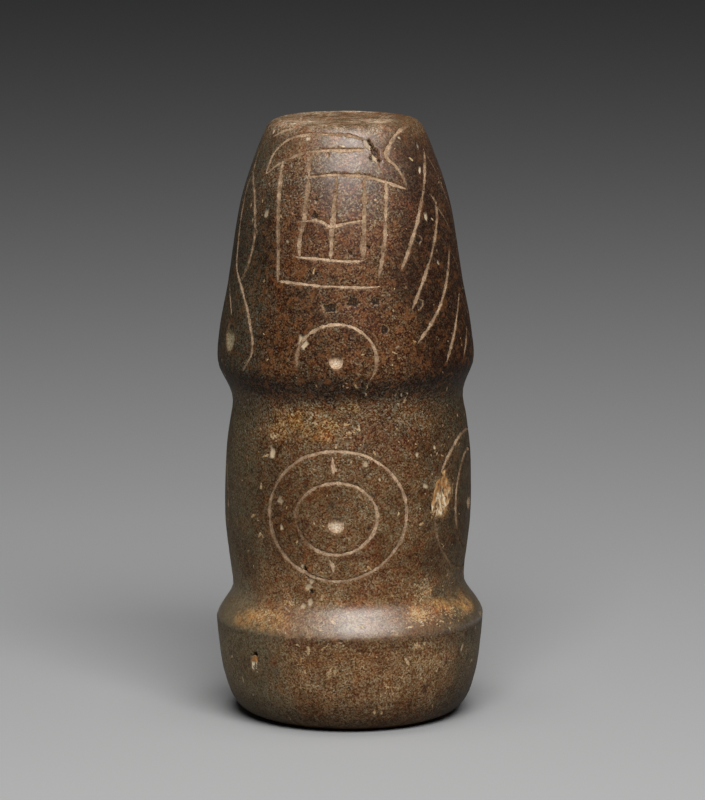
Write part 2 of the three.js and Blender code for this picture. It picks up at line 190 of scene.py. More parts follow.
# Chips: turn, height, half width, half height, slant in degrees, depth, and tone from -1, black, to 1, cream;
# their black is painted shade in the hollow
CHIPS = [
    (17.8, 160.3, 0.5, 2, 25, 1.2, -1), (20.4, 158, 1, 2.3, 25, 1.1, -0.8),
    (22.5, 155.9, 0.8, 0.7, 0, 1, -1), (19.2, 156.9, 0.8, 1.2, 25, 0.6, 0.7),
    (14.8, 160.2, 1, 1.6, 25, 0.15, 0.4), (17.2, 156.7, 0.4, 1, 10, 0.5, -0.8),
    (-19.1, 108.2, 1.7, 1.9, 30, 0.5, 0.95), (-38, 77.2, 1.2, 1.8, 10, 0.45, 1),
    (-32, 57, 0.7, 0.9, 0, 0.3, 0.9), (-20.5, 45, 0.8, 2.4, 20, 0.9, -1),
    (-21.8, 46.6, 0.6, 0.8, 0, 0.3, 0.9), (-19.5, 41, 1.2, 1.3, 20, 0.4, 0.8),
    (-17.8, 42.6, 0.8, 1.3, -15, 0.5, 0.75), (-18.2, 39.6, 0.7, 1, 30, 0.4, -0.9),
    (-19.2, 36.8, 1, 1.1, 15, 0.4, 0.8), (-22.5, 35.6, 0.8, 0.7, 0, 0.3, 0.6),
    (-45.5, 21, 1.1, 1.5, 25, 1.4, -1), (-63.5, 142.8, 0.25, 0.8, 0, 0.2, 1),
    (-47.1, 141.2, 0.9, 1, 20, 0.2, 0.6), (-49.3, 149.1, 0.7, 0.7, 0, 0.3, -0.7),
    (-58.6, 139.1, 0.4, 0.6, 0, 0.2, 0.7), (40.7, 134.6, 1.3, 1.6, 20, 0.25, -0.8),
    (48.2, 140.2, 0.7, 1.1, 15, 0.3, 0.85), (53.6, 127.3, 0.4, 0.8, 40, 0.2, 0.7),
    (60.6, 123.9, 0.6, 0.8, 0, 0.3, 0.8), (-7.2, 117.5, 2.1, 1.5, 0, 0.35, -0.9),
    (4.2, 119, 1.6, 1.9, 30, 0.35, -0.9), (14.6, 118.7, 1.7, 1.3, 0, 0.3, -0.85),
    (18.3, 111.2, 1.6, 1.5, 0, 0.35, -0.9), (37.8, 117.5, 1.7, 1.5, 0, 0.25, -0.7),
    (19.4, 121.1, 1.4, 1.2, 0, 0.2, -0.6), (-11.6, 121.4, 0.6, 0.6, 0, 0.15, -0.8),
    (5.6, 103.3, 1.1, 1, 0, 0.2, -0.7), (-26.5, 161.6, 0.8, 0.6, 0, 0.2, 0.8),
    (-63.5, 162.6, 0.7, 1.2, -20, 0.5, 0.8), (41, 161.5, 0.6, 0.4, -30, 0.2, 0.9),
    (-4, 26.9, 0.5, 0.8, 20, 0.4, -0.7), (-4.3, 18.4, 0.4, 0.6, 30, 0.4, -0.9),
    (57.6, 21, 0.5, 1.2, -20, 0.3, 0.9), (-56.5, 12.7, 0.3, 1.1, 20, 0.2, 0.8),
    (42.6, 61.4, 0.5, 2.4, -15, 0.6, -0.8), (56.2, 65.2, 0.6, 3.4, -14, 0.7, -0.9),
    (50.2, 70.6, 1, 1, -20, 0.5, -0.9), (-17, 141.6, 1.5, 1.2, 60, 0.6, -0.9),
    (-29, 162.4, 0.9, 0.7, 0, 0.45, -0.5), (3, 131.9, 0.6, 0.9, 30, 0.5, -0.9),
    (12, 133.4, 0.5, 1.1, 50, 0.5, -0.9), (11.5, 145, 0.8, 0.6, 0, 0.4, -0.7),
    (57, 159, 0.6, 1.2, 15, 0.45, -0.8), (9.5, 56.9, 0.7, 0.8, 0, 0.45, -0.9),
    (52, 152.6, 0.5, 1.1, -20, 0.3, 1), (14.5, 70.5, 0.4, 0.5, 0, 0.2, 1),
    (8.2, 74.8, 0.8, 0.9, 20, 0.25, 0.6), (-6.4, 73.6, 0.9, 0.8, 40, 0.25, 0.7),
    (-32.5, 64.6, 0.9, 1.1, 20, 0.2, 0.5), (45, 77.5, 0.4, 0.7, 0, 0.25, 1),
    (34, 76.4, 0.6, 0.8, 0, 0.3, 0.8), (38, 67.5, 0.7, 1, 40, 0.3, 0.8),
    (80, 28, 2, 1.2, 0, 0.7, 0.3), (84, 50.6, 0.9, 1.6, -50, 0.8, -1),
    (140, 148, 1.1, 1.5, 20, 0.6, -0.9), (205, 110, 1.4, 1, 0, 0.5, 0.7),
    (-130, 35, 1.6, 1, 0, 0.6, 0.5), (120, 22, 1.1, 1.4, 30, 0.7, -0.9),
    (215, 78, 0.9, 1.3, -30, 0.5, -0.8),
]
CHIP_SIDES, SIDE_REACHES, SIDE_SKEW, CHIP_EDGE = 5, (0.7, 1), 25, (0.65, 1.05)
CHIP_RIPPLES, POCKET_RIPPLES, POCKET_LEAN = ((0.22, 0.7),), ((0.25, 1.7),), 0.15

# Small pores, most of them on the head and most of them black, their black painted shade in the hollow
PORES, PORE_RADII, PORE_STRETCH, PORE_DEPTHS = 150, (0.22, 0.55), (0.7, 2.2), (0.2, 0.45)
HEAD_SHARE, HEAD_SPAN, BODY_SPAN = 0.62, (96, 162), (5, 96)
PALE_SHARE, PALE_TONES, BLACK_TONES = 0.12, (0.3, 0.7), (-1, -0.6)

# Soft patches, as turn, height, half width and half height: ochre and rust stains, dark patches that are
# partly painted shade where light falls off and partly dark stains, and clusters of pale shards
PATCHES = {
    "ochre": [
        (-24, 87, 12, 4.5), (-33, 84, 7, 4), (-12, 84, 8, 4), (1, 90, 4, 2.5), (-41, 31.3, 11, 4.5),
        (-52, 30.6, 8, 4), (67, 32.2, 7, 4), (42, 33, 14, 3.5), (49, 63.5, 5.5, 7), (142, 86, 14, 6),
        (216, 30, 14, 5), (100, 45, 10, 8),
    ],
    "rust": [
        (27, 80.5, 10, 4.5), (12, 81, 7, 4.5), (0, 81, 5, 4), (-25, 70.5, 5, 3), (-17, 58, 4, 5),
        (9.5, 53, 4.5, 5), (3, 49.5, 4, 3), (19, 45, 5, 4), (50, 72, 5, 5), (3, 11.5, 3, 2),
        (10, 39.5, 5, 3), (-21, 26, 6, 2.5), (49, 20.5, 5, 4), (42, 32.5, 4, 3), (28, 157, 7, 4),
        (38, 143, 6, 6), (-33, 20, 4, 3), (150, 75, 10, 8), (200, 50, 8, 6), (-110, 70, 9, 7),
        (-150, 20, 9, 5), (110, 15, 8, 5), (185, 140, 8, 8),
    ],
    # Dark patches: partly painted shade, towards the flanks and the neck, partly dark stains
    "dark": [
        (-36, 63, 14, 25), (-24, 56, 6, 7), (-58, 46, 9, 10), (-46, 18, 19, 9), (-45, 134, 7, 16),
        (47, 147, 10, 19), (-42, 95.5, 10, 3), (40, 96.5, 15, 4), (44, 77, 10, 6), (60, 55, 9, 14),
        (39, 63, 5, 9), (40, 46, 14, 8), (31, 82, 7, 4), (160, 60, 14, 18), (-150, 130, 12, 14),
        (120, 20, 14, 8),
    ],
    "shards": [
        (-6.5, 26, 4, 1.8), (-18.6, 22.6, 1.6, 2.8), (-8.6, 18.1, 2.8, 1.6), (31, 23.5, 2.6, 2.4),
        (17, 12.4, 3, 2.2), (13, 5.6, 2.6, 1.4), (-37.5, 13, 2, 1.4), (-30, 37, 2.4, 3), (-43, 32, 4.2, 2.4),
        (36, 31.5, 7, 3.2), (52, 31, 7, 3.2), (39, 38.5, 5, 3), (1.2, 97, 2, 2), (-13.7, 98, 1, 1.6),
        (-24.2, 101.6, 1, 0.8), (-20.8, 97, 1.2, 0.8), (29, 92, 1.6, 1.6), (-37.5, 82, 2, 2),
        (1.5, 84, 2.4, 1.6), (43.5, 59.5, 2, 2), (130, 20, 5, 4), (-150, 33, 6, 3), (-170, 84, 5, 3),
        (165, 110, 5, 3),
    ],
}

# Stone mesh: spacing of its rows, closer by the crease, rings of its flat ends, columns, and how far from
# a mark it is refined
ROW_STEP, CREASE_ROW_STEP, CREASE_REACH = 2, 0.5, 1.8
FOOT_RINGS, LEAST_CROWN_RING = (4, 9, 14, 19, 23), 1.5
COLUMNS = 112
REFINE_REACHES, SEAT_MARGIN = (2.3, 1.25, 0.62), 0.7
LINE_SAMPLE, ARC_SAMPLES = 0.3, 200

# Lines: share of the width at an open end, how far it tapers, and where cut and dust end, in half widths
END_WIDTH, TAPER = 0.35, 2.4
GROOVE_EDGE, DUST_EDGE = (0.55, 1.2), (0.8, 2.1)

# Seeds of the noises and random draws
SURFACE_SEED, PORE_SEED, POCKET_SEED, CHIP_SEED = 3, 41, 300, 500
FIGURE_SEED, CROWN_SEED, HALF_RING_SEED, RING_SEED = 1000, 4000, 5000, 6000
STRIP_SEED, DISH_SEED, CRYSTAL_SEED = 900, 60, 80
NOISE_CELLS = 32


def smooth(value, start, end):
    share = np.clip((np.asarray(value, float) - start) / (end - start), 0, 1)
    return share * share * (3 - 2 * share)


def lattice_noise(points, size, seed):
    """Smooth noise from -1 to 1, with features about size across."""
    table = np.random.default_rng(seed).uniform(-1, 1, (NOISE_CELLS,) * 3)
    scaled = np.asarray(points) / size
    cell = np.floor(scaled).astype(int)
    part = scaled - cell
    part = part * part * (3 - 2 * part)
    total = np.zeros(len(scaled))
    for corner in itertools.product((0, 1), repeat=3):
        weight = np.prod(np.where(corner, part, 1 - part), axis=1)
        total += weight * table[tuple(((cell + corner) % NOISE_CELLS).T)]
    return total


def ripples(points, waves, seed):
    """Noise summed from (height, size) waves."""
    return sum(height * lattice_noise(points, size, seed + i) for i, (height, size) in enumerate(waves))


# The stone's surface, in millimetres


def spline(points):
    """A Catmull-Rom curve through the points, with SPLINE_STEPS steps between neighbours."""
    knots = np.array(points, float)
    padded = np.vstack([knots[:1], knots, knots[-1:]])
    share = np.linspace(0, 1, SPLINE_STEPS, endpoint=False)[:, None]
    stretches = []
    for before, here, there, after in zip(padded, padded[1:], padded[2:], padded[3:]):
        leave, arrive = (there - before) / 2, (after - here) / 2
        cubic = 2 * here - 2 * there + leave + arrive
        square = -3 * here + 3 * there - 2 * leave - arrive
        stretches.append(((cubic * share + square) * share + leave) * share + here)
    return np.vstack([*stretches, knots[-1:]])


def run_along(points):
    """How far along the points each of them lies."""
    return np.concatenate([[0], np.cumsum(np.linalg.norm(np.diff(points, axis=0), axis=1))])


def at_marks(marks, run, curve):
    """The places of a flat curve at these marks along its run."""
    return np.stack([np.interp(marks, run, curve[:, i]) for i in (0, 1)], axis=1)


STRETCHES = [spline(points) for points in (BELLY, GRIP, HEAD)]
OUTLINE = np.vstack([STRETCHES[0], *(stretch[1:] for stretch in STRETCHES[1:])])


def radius_at(height):
    return np.interp(height, OUTLINE[:, 1], OUTLINE[:, 0])


def hand_work(points):
    """Leans the turned form's grip and head left, and tilts its ledge and collar up to the right."""
    moved = np.array(points, float)
    x, z = points[:, 0], points[:, 2]
    moved[:, 2] += TILT * x * smooth(z, *TILT_START) * (1 - smooth(z, *TILT_END))
    moved[:, 0] -= GRIP_LEAN * smooth(z, *GRIP_LEAN_SPAN) + HEAD_LEAN * smooth(z, *HEAD_LEAN_SPAN)
    return moved


def turned(turn, height):
    angle, radius = np.radians(turn), radius_at(height)
    return np.stack([radius * np.sin(angle), -radius * np.cos(angle), np.asarray(height, float)], axis=1)


def on_stone(turn, height):
    return hand_work(turned(np.atleast_1d(turn), np.atleast_1d(height)))


def unit(vectors):
    return vectors / np.linalg.norm(vectors, axis=-1, keepdims=True)


def axes_on_stone(turn, height):
    """Unit vectors along rising turn, up the surface, and out of the stone."""
    turn, height, reach = np.atleast_1d(turn), np.atleast_1d(height), 0.3
    low, high = np.maximum(height - reach, 0), np.minimum(height + reach, HEIGHT)
    along = unit(on_stone(turn + reach, height) - on_stone(turn - reach, height))
    upward = unit(on_stone(turn, high) - on_stone(turn, low))
    return along, upward, unit(np.cross(along, upward))


def unevenness(points):
    """How far the worked surface stands out from the turned form, which it never passes by much."""
    worked = ripples(points, SURFACE_RIPPLES, SURFACE_SEED) - SURFACE_SUNK
    return worked * smooth(points[:, 2], 0.2, 4)


# The carved lines, as places on the stone at an even spacing


@dataclass
class Line:
    """A line's samples: places, ways out and to the side, half widths, depths, and how pale it is."""

    places: np.ndarray
    outs: np.ndarray
    sides: np.ndarray
    half: np.ndarray
    depth: np.ndarray
    shade: np.ndarray
    closed: bool


def by_hand(places, outs, cut, paleness, closed, seed):
    """A line with an unsteady course and width, that fades where it is less pale and tapers at open ends."""
    count = len(places)
    if closed:
        ahead = np.roll(places, -1, axis=0) - np.roll(places, 1, axis=0)
    else:
        ahead = np.gradient(places, axis=0)
    sides = unit(np.cross(unit(ahead), outs))
    sway = ripples(places, SWAY_RIPPLES, seed)
    stops = [*paleness, paleness[0]] if closed else paleness
    shade = np.interp(np.linspace(0, 1, count), np.linspace(0, 1, len(stops)), stops)
    shade = np.clip(shade + ripples(places, SHADE_RIPPLES, seed + 2), 0, 1)
    half = cut[0] / 2 * (1 + ripples(places, WIDTH_RIPPLES, seed + 3))
    if not closed:
        run = np.arange(count) * LINE_SAMPLE
        half *= END_WIDTH + (1 - END_WIDTH) * smooth(np.minimum(run, run[::-1]), 0, TAPER)
    depth = cut[1] * (0.5 + 0.5 * shade) * np.sqrt(half / (cut[0] / 2))
    return Line(places + sides * sway[:, None], outs, sides, half, depth, shade, closed)


def line_on_stone(cut, paleness, curve, seed, closed=False):
    """A line along a (turn, height) curve, with a sample at each LINE_SAMPLE millimetres."""
    run = run_along(on_stone(curve[:, 0], curve[:, 1]))
    marks = np.linspace(0, run[-1], max(4, round(run[-1] / LINE_SAMPLE)))
    turn, height = at_marks(marks[:-1] if closed else marks, run, curve).T
    return by_hand(on_stone(turn, height), axes_on_stone(turn, height)[2], cut, paleness, closed, seed)


def arc(turn, height, half_turn, half_height, start, end):
    angle = np.radians(np.linspace(start, end, ARC_SAMPLES))
    return np.stack([turn + half_turn * np.cos(angle), height + half_height * np.sin(angle)], axis=1)


def crown_line(start, end, seed):
    steps = round(math.dist(start, end) / LINE_SAMPLE)
    places = hand_work(np.column_stack([np.linspace(start, end, steps), np.full(steps, HEIGHT)]))
    return by_hand(places, np.tile((0.0, 0, 1), (steps, 1)), FINE, (0.5, 0.6), False, seed)


def carved_lines():
    """Node name to its lines."""
    figures = {
        "window_fill": WINDOW,
        "rim_line_fill": RIM_LINE,
        "loop_fill": LOOP,
        "stem_fill": STEM,
        "back_frame_fill": BACK_FRAME,
        "upper_tick_fill": UPPER_TICK,
        "lower_tick_fill": LOWER_TICK,
    }
    for i, (near, far) in enumerate(CHEVRONS, 1):
        figures[f"chevron_{i}_fill"] = [(LINE, CHEVRON_PALENESS, near), (FINE, FAR_PALENESS, far)]
    lines = {}
    for k, (node, strokes) in enumerate(figures.items()):
        lines[node] = [
            line_on_stone(cut, paleness, spline(points), FIGURE_SEED + 200 * k + 10 * i)
            for i, (cut, paleness, points) in enumerate(strokes)
        ]
    for i, (start, end) in enumerate(CROWN_LINES, 1):
        lines[f"crown_line_{i}_fill"] = [crown_line(start, end, CROWN_SEED + 10 * i)]
    for k, (side, turn) in enumerate(HALF_RING_TURNS.items()):
        curve = arc(turn, HALF_RING_HEIGHT, *HALF_RING_SIZE, *HALF_RING_SWEEP)
        line = line_on_stone(LINE, HALF_RING_PALENESS, curve, HALF_RING_SEED + 10 * k)
        lines[f"{side}_half_ring_fill"] = [line]
    for k, (side, (turn, _, *rings)) in enumerate(RING_MOTIFS.items()):
        for ring, (height, half_turn, half_height, *sweep) in zip(("outer", "inner"), rings):
            curve = arc(turn, height, half_turn, half_height, *(sweep or (0, 360)))
            paleness = RING_PALENESS[f"{side}_{ring}"]
            line = line_on_stone(LINE, paleness, curve, RING_SEED + 10 * k, closed=not sweep)
            lines[f"{side}_{ring}_ring_fill"] = [line]
    return lines


LINES = carved_lines()
ALL_LINES = [line for lines in LINES.values() for line in lines]


# The stone's mesh


def outline_rows():
    """(radius, height) of each row of vertices, from the foot's middle over the outline to the crown."""
    run = run_along(OUTLINE)
    crease_run = np.interp(CREASE[1], OUTLINE[:, 1], run)
    marks, here = [], 0.0
    while here < run[-1]:
        marks.append(here)
        close = abs(here - crease_run) < CREASE_REACH
        here += CREASE_ROW_STEP if close else ROW_STEP
    side = at_marks([*marks, run[-1]], run, OUTLINE)
    foot = [(radius, 0) for radius in FOOT_RINGS]
    crown = [(radius, HEIGHT) for radius in np.arange(TOP_RADIUS - ROW_STEP, LEAST_CROWN_RING, -ROW_STEP)]
    return np.vstack([foot, side, crown])


def turned_bmesh():
    bm = bmesh.new()
    angles = np.linspace(0, 2 * math.pi, COLUMNS, endpoint=False)
    rings = []
    for radius, height in outline_rows():
        rings.append([bm.verts.new((radius * math.sin(a), -radius * math.cos(a), height)) for a in angles])
    neighbours = [(i, (i + 1) % COLUMNS) for i in range(COLUMNS)]
    for low, high in zip(rings, rings[1:]):
        for i, j in neighbours:
            bm.faces.new((low[i], low[j], high[j], high[i]))
    foot, crown = bm.verts.new((0, 0, 0)), bm.verts.new((0, 0, HEIGHT))
    for i, j in neighbours:
        bm.faces.new((foot, rings[0][j], rings[0][i]))
        bm.faces.new((crown, rings[-1][i], rings[-1][j]))
    return bm


def random_pores():
    rng = np.random.default_rng(PORE_SEED)
    turns = rng.uniform(-180, 180, PORES)
    on_head = rng.random(PORES) < HEAD_SHARE
    heights = np.where(on_head, rng.uniform(*HEAD_SPAN, PORES), rng.uniform(*BODY_SPAN, PORES))
    radii, depths = rng.uniform(*PORE_RADII, PORES), rng.uniform(*PORE_DEPTHS, PORES)
    stretch, slants = rng.uniform(*PORE_STRETCH, PORES), rng.uniform(-90, 90, PORES)
    pale = rng.random(PORES) < PALE_SHARE
    tones = np.where(pale, rng.uniform(*PALE_TONES, PORES), rng.uniform(*BLACK_TONES, PORES))
    return list(zip(turns, heights, radii, radii * stretch, slants, depths, tones))


ALL_CHIPS = CHIPS + random_pores()


def tree_of(points):
    tree = KDTree(len(points))
    for i, point in enumerate(points):
        tree.insert(point, i)
    tree.balance()
    return tree


LINE_HALVES, LINE_DEPTHS, LINE_SHADES = (
    np.concatenate([getattr(line, name) for line in ALL_LINES]) for name in ("half", "depth", "shade")
)
LINE_TREE = tree_of(np.vstack([line.places for line in ALL_LINES]))
MARKS = [pit[1:5] for pit in PITS + POCKETS] + [chip[:4] for chip in ALL_CHIPS]
SEATS = [(on_stone(turn, height)[0], max(wide, high)) for turn, height, wide, high in MARKS]
SEAT_TREE = tree_of([place for place, _ in SEATS])
WIDEST_SEAT = max(reach for _, reach in SEATS)


def near_mark(place, reach):
    if LINE_TREE.find(place)[2] < reach:
        return True
    close = SEAT_TREE.find_range(place, WIDEST_SEAT + reach)
    return any(far < SEATS[i][1] + reach - SEAT_MARGIN for _, i, far in close)


def refine(bm, reach):
    centres = np.array([face.calc_center_median() for face in bm.faces])
    worked = hand_work(centres)
    faces = [face for face, place in zip(bm.faces, worked) if near_mark(place, reach)]
    edges = list({edge for face in faces for edge in face.edges})
    bmesh.ops.subdivide_edges(bm, edges=edges, cuts=1, use_grid_fill=True)


def on_exact_outline(points):
    """Puts vertices made by subdividing back on the turned form. Returns turn and height too."""
    turn = np.degrees(np.arctan2(points[:, 0], -points[:, 1]))
    height = np.clip(points[:, 2], 0, HEIGHT)
    flat = (height < 1e-4) | (height > HEIGHT - 1e-4)
    exact = np.where(flat[:, None], points, turned(turn, height))
    return exact, turn, height, flat


def groove_field(points):
    """How deep the lines cut at each point, and from 0 to 1 how much pale dust lies round them."""
    found = [LINE_TREE.find(point) for point in points]
    nearest = np.array([index for _, index, _ in found])
    away = np.array([far for _, _, far in found]) / LINE_HALVES[nearest]
    cut = LINE_DEPTHS[nearest] * (1 - smooth(away, *GROOVE_EDGE))
    return cut, LINE_SHADES[nearest] * (1 - smooth(away, *DUST_EDGE))


def flake(across, along, seed):
    """How far points lie from a chip's middle, as a share of its reach, with straight broken sides."""
    rng = np.random.default_rng(seed)
    even = np.arange(CHIP_SIDES) * 360 / CHIP_SIDES
    angles = np.radians(even + rng.uniform(-SIDE_SKEW, SIDE_SKEW, CHIP_SIDES))
    reaches = rng.uniform(*SIDE_REACHES, CHIP_SIDES)
    sides = [(across * math.cos(a) + along * math.sin(a)) / reach for a, reach in zip(angles, reaches)]
    return np.max(sides, axis=0)


def local_spots(points, tree, turn, height, reach):
    """Indices of the points within reach of a spot on the stone, and their places right and up from it."""
    along, upward, _ = (axis[0] for axis in axes_on_stone(turn, height))
    centre = on_stone(turn, height)[0]
    near = np.array([i for _, i, _ in tree.find_range(centre, reach)], int)
    offset = points[near] - centre if len(near) else np.zeros((0, 3))
    return near, offset @ along, offset @ upward


def raise_to(field, near, values):
    field[near] = np.maximum(field[near], values)


def patch_field(points, tree, patches):
    """1 in the middle of the patches, fading out at their edges."""
    field = np.zeros(len(points))
    for turn, height, wide, high in patches:
        near, right, up = local_spots(points, tree, turn, height, max(wide, high))
        raise_to(field, near, 1 - smooth(np.hypot(right / wide, up / high), 0.3, 1))
    return field


def cut_pits(points, tree, cut, dust):
    """Deepens the cut at the pits and the ragged pockets, and puts dust round them."""
    for k, (_, turn, height, wide, high, depth, *_) in enumerate(PITS + POCKETS):
        near, right, up = local_spots(points, tree, turn, height, max(wide, high) * 1.4)
        lean = POCKET_LEAN if k >= len(PITS) else 0
        away = np.hypot((right - lean * up) / wide, up / high)
        if lean:
            away += ripples(points[near], POCKET_RIPPLES, POCKET_SEED + k)
        raise_to(cut, near, depth * np.clip(1 - away**2, 0, 1) ** 0.8)
        raise_to(dust, near, 1 - smooth(away, 0.9, 1.3))


def cut_chips(points, tree, cut, pale, black):
    """Deepens the cut at the chips and pores, and notes how pale or black they are."""
    for k, (turn, height, wide, high, slant, depth, tone) in enumerate(ALL_CHIPS):
        near, right, up = local_spots(points, tree, turn, height, max(wide, high) * 1.6)
        angle = math.radians(slant)
        across = right * math.cos(angle) + up * math.sin(angle)
        along = up * math.cos(angle) - right * math.sin(angle)
        away = flake(across / wide, along / high, CHIP_SEED + k)
        away += ripples(points[near], CHIP_RIPPLES, CHIP_SEED + k)
        share = 1 - smooth(away, *CHIP_EDGE)
        raise_to(cut, near, depth * share)
        raise_to(pale if tone > 0 else black, near, abs(tone) * share)


def set_field(mesh, name, values):
    mesh.attributes.new(name, "FLOAT", "POINT").data.foreach_set("value", values)


def stone_mesh():
    bm = turned_bmesh()
    for reach in REFINE_REACHES:
        refine(bm, reach)
    mesh = bpy.data.meshes.new("pestle_stone")
    bm.to_mesh(mesh)
    bm.free()
    raw = np.empty(len(mesh.vertices) * 3)
    mesh.vertices.foreach_get("co", raw)
    exact, turn, height, flat = on_exact_outline(raw.reshape(-1, 3))
    points = hand_work(exact)
    outs = axes_on_stone(turn, height)[2]
    outs[flat] = np.where(height[flat, None] > HEIGHT / 2, (0, 0, 1), (0, 0, -1))

    tree = tree_of(points)
    cut, dust = groove_field(points)
    pale, black = np.zeros(len(points)), np.zeros(len(points))
    cut_pits(points, tree, cut, dust)
    cut_chips(points, tree, cut, pale, black)
    fields = {"dust": dust, "pale": pale, "black": black}
    fields |= {name: patch_field(points, tree, spots) for name, spots in PATCHES.items()}
    points += outs * (unevenness(points) - cut)[:, None]
    mesh.vertices.foreach_set("co", (points * MM).ravel())
    for name, values in fields.items():
        set_field(mesh, name, values)
    mesh.update()
    return mesh


# The pale matter: strips in the lines and dishes in the pits


# Corners of a strip across its line, in half widths, and how far its lips, rims and keel lie under the stone
TOP_ACROSS, KEEL_ACROSS = (-1.25, -1, -0.5, 0, 0.5, 1, 1.25), (0.6, -0.6)
OVERHANG, RIM_SUNK, KEEL_DEPTH, KEEL_SUNK = 0.7, 0.04, 1.1, 0.12


def strip_rings(line, seed):
    """Rings of corners across a line: a dished top that runs in under the stone's edges, over a keel."""
    depth, shade = line.depth, line.shade
    surface = line.places + line.outs * unevenness(line.places)[:, None]
    emptied = smooth(shade, 0.22, 0.08) * depth
    middle = depth * (0.3 + 0.35 * (1 - shade)) + emptied - ripples(line.places, FILL_RIPPLES, seed)
    edge = 0.1 * depth + emptied
    levels = []
    for across in TOP_ACROSS:
        share = min(abs(across), 1) ** 2
        overhang = OVERHANG * depth * smooth(across * line.sides[:, 2], 0.15, 0.8)
        levels.append(-(middle * (1 - share) + edge * share) - overhang - RIM_SUNK * (abs(across) > 1))
    levels += [-KEEL_DEPTH * depth - KEEL_SUNK] * len(KEEL_ACROSS)
    rings = [
        surface + line.sides * (line.half * across)[:, None] + line.outs * level[:, None]
        for across, level in zip(TOP_ACROSS + KEEL_ACROSS, levels)
    ]
    return np.stack(rings, axis=1)


def tube_mesh(name, rings, closed):
    count, size = rings.shape[:2]
    faces = []
    for i in range(count if closed else count - 1):
        here, ahead = i * size, (i + 1) % count * size
        for k in range(size):
            beside = (k + 1) % size
            faces.append((here + k, here + beside, ahead + beside, ahead + k))
    if not closed:
        faces += [tuple(range(size))[::-1], tuple(range((count - 1) * size, count * size))]
    mesh = bpy.data.meshes.new(name)
    mesh.from_pydata((rings.reshape(-1, 3) * MM).tolist(), [], faces)
    mesh.update()
    return mesh


def piece(name, mesh):
    made = bpy.data.objects.new(name, mesh)
    bpy.context.scene.collection.objects.link(made)
    return made


def joined(name, meshes):
    """One closed mesh of several that cross."""
    whole = piece(name, meshes[0])
    for mesh in meshes[1:]:
        other = piece("joining", mesh)
        union = whole.modifiers.new("join", "BOOLEAN")
        union.operation, union.solver, union.object = "UNION", "MANIFOLD", other
        graph = bpy.context.evaluated_depsgraph_get()
        merged = bpy.data.meshes.new_from_object(whole.evaluated_get(graph))
        whole.modifiers.clear()
        whole.data = merged
        bpy.data.objects.remove(other)
    whole.data.name = name
    return whole


def shade_mesh(mesh, places, shades):
    """Gives each vertex the paleness of the nearest place."""
    tree = tree_of(places)
    set_field(mesh, "shade", [shades[tree.find(vertex.co / MM)[1]] for vertex in mesh.vertices])


def line_piece(node, lines, seed):
    meshes = [tube_mesh(node, strip_rings(line, seed + 11 * i), line.closed) for i, line in enumerate(lines)]
    made = joined(f"{node}_worn", meshes)
    places = np.vstack([line.places for line in lines])
    shade_mesh(made.data, places, np.concatenate([line.shade for line in lines]))
    return made


# Dishes: spokes and shells of the mesh, how shaded the upper lip is, the foot's share of the width, how far
# the foot lies under the pit, the rim under the stone and the edge under the rim, then how rough a fill and
# a crystal are and how far they spread, in half widths
DISH_SPOKES, DISH_SHELLS, SHADED_LIP = 40, 8, 0.9
FOOT_SHARE, FOOT_SUNK, DISH_SUNK, EDGE_SUNK = 0.9, 0.1, 0.08, 0.3
FILL_ROUGH, CRYSTAL_ROUGH, PIT_SPREAD, POCKET_SPREAD = 0.05, 0.3, 1.05, 1.3


def dish_piece(pit, rough, seed, reach=PIT_SPREAD, lean=0, olive=0):
    """A plug of pale matter in a pit, with a dished and uneven top that runs in under the stone's edge."""
    node, turn, height, wide, high, depth, paleness, fullness = pit
    along, upward, out = (axis[0] for axis in axes_on_stone(turn, height))
    centre = on_stone(turn, height)
    centre = centre[0] + out * unevenness(centre)[0]
    angles = np.linspace(0, 2 * math.pi, DISH_SPOKES, endpoint=False)
    circle = np.outer(wide * np.cos(angles), along) + np.outer(high * np.sin(angles), upward + lean * along)
    rings = [centre + FOOT_SHARE * circle - (depth + FOOT_SUNK) * out]
    for share in np.linspace(reach, 1 / DISH_SHELLS, DISH_SHELLS):
        flat = centre + share * circle
        under = smooth(share, 1, 1.2)
        bowl = -depth * (1 - fullness) * max(0, 1 - share**2) ** 0.8 - DISH_SUNK - EDGE_SUNK * under
        rings.append(flat + np.outer(bowl + rough * (1 - under) * lattice_noise(flat, 0.8, seed), out))
    mesh = tube_mesh(node, np.stack(rings), False)
    shells = np.stack(rings[1:])
    fade = np.linspace(0.4, 1, DISH_SHELLS)[:, None] ** 0.6 * np.ones(DISH_SPOKES)
    outward = np.linspace(1, 0, DISH_SHELLS)[:, None]
    shadow = 1 - SHADED_LIP * smooth(np.sin(angles), 0.1, 0.8) * outward**0.7
    shade_mesh(mesh, shells.reshape(-1, 3), (paleness * fade * shadow).ravel())
    set_field(mesh, "olive", np.full(len(mesh.vertices), olive))
    return piece(f"{node}_worn", mesh)


# Materials


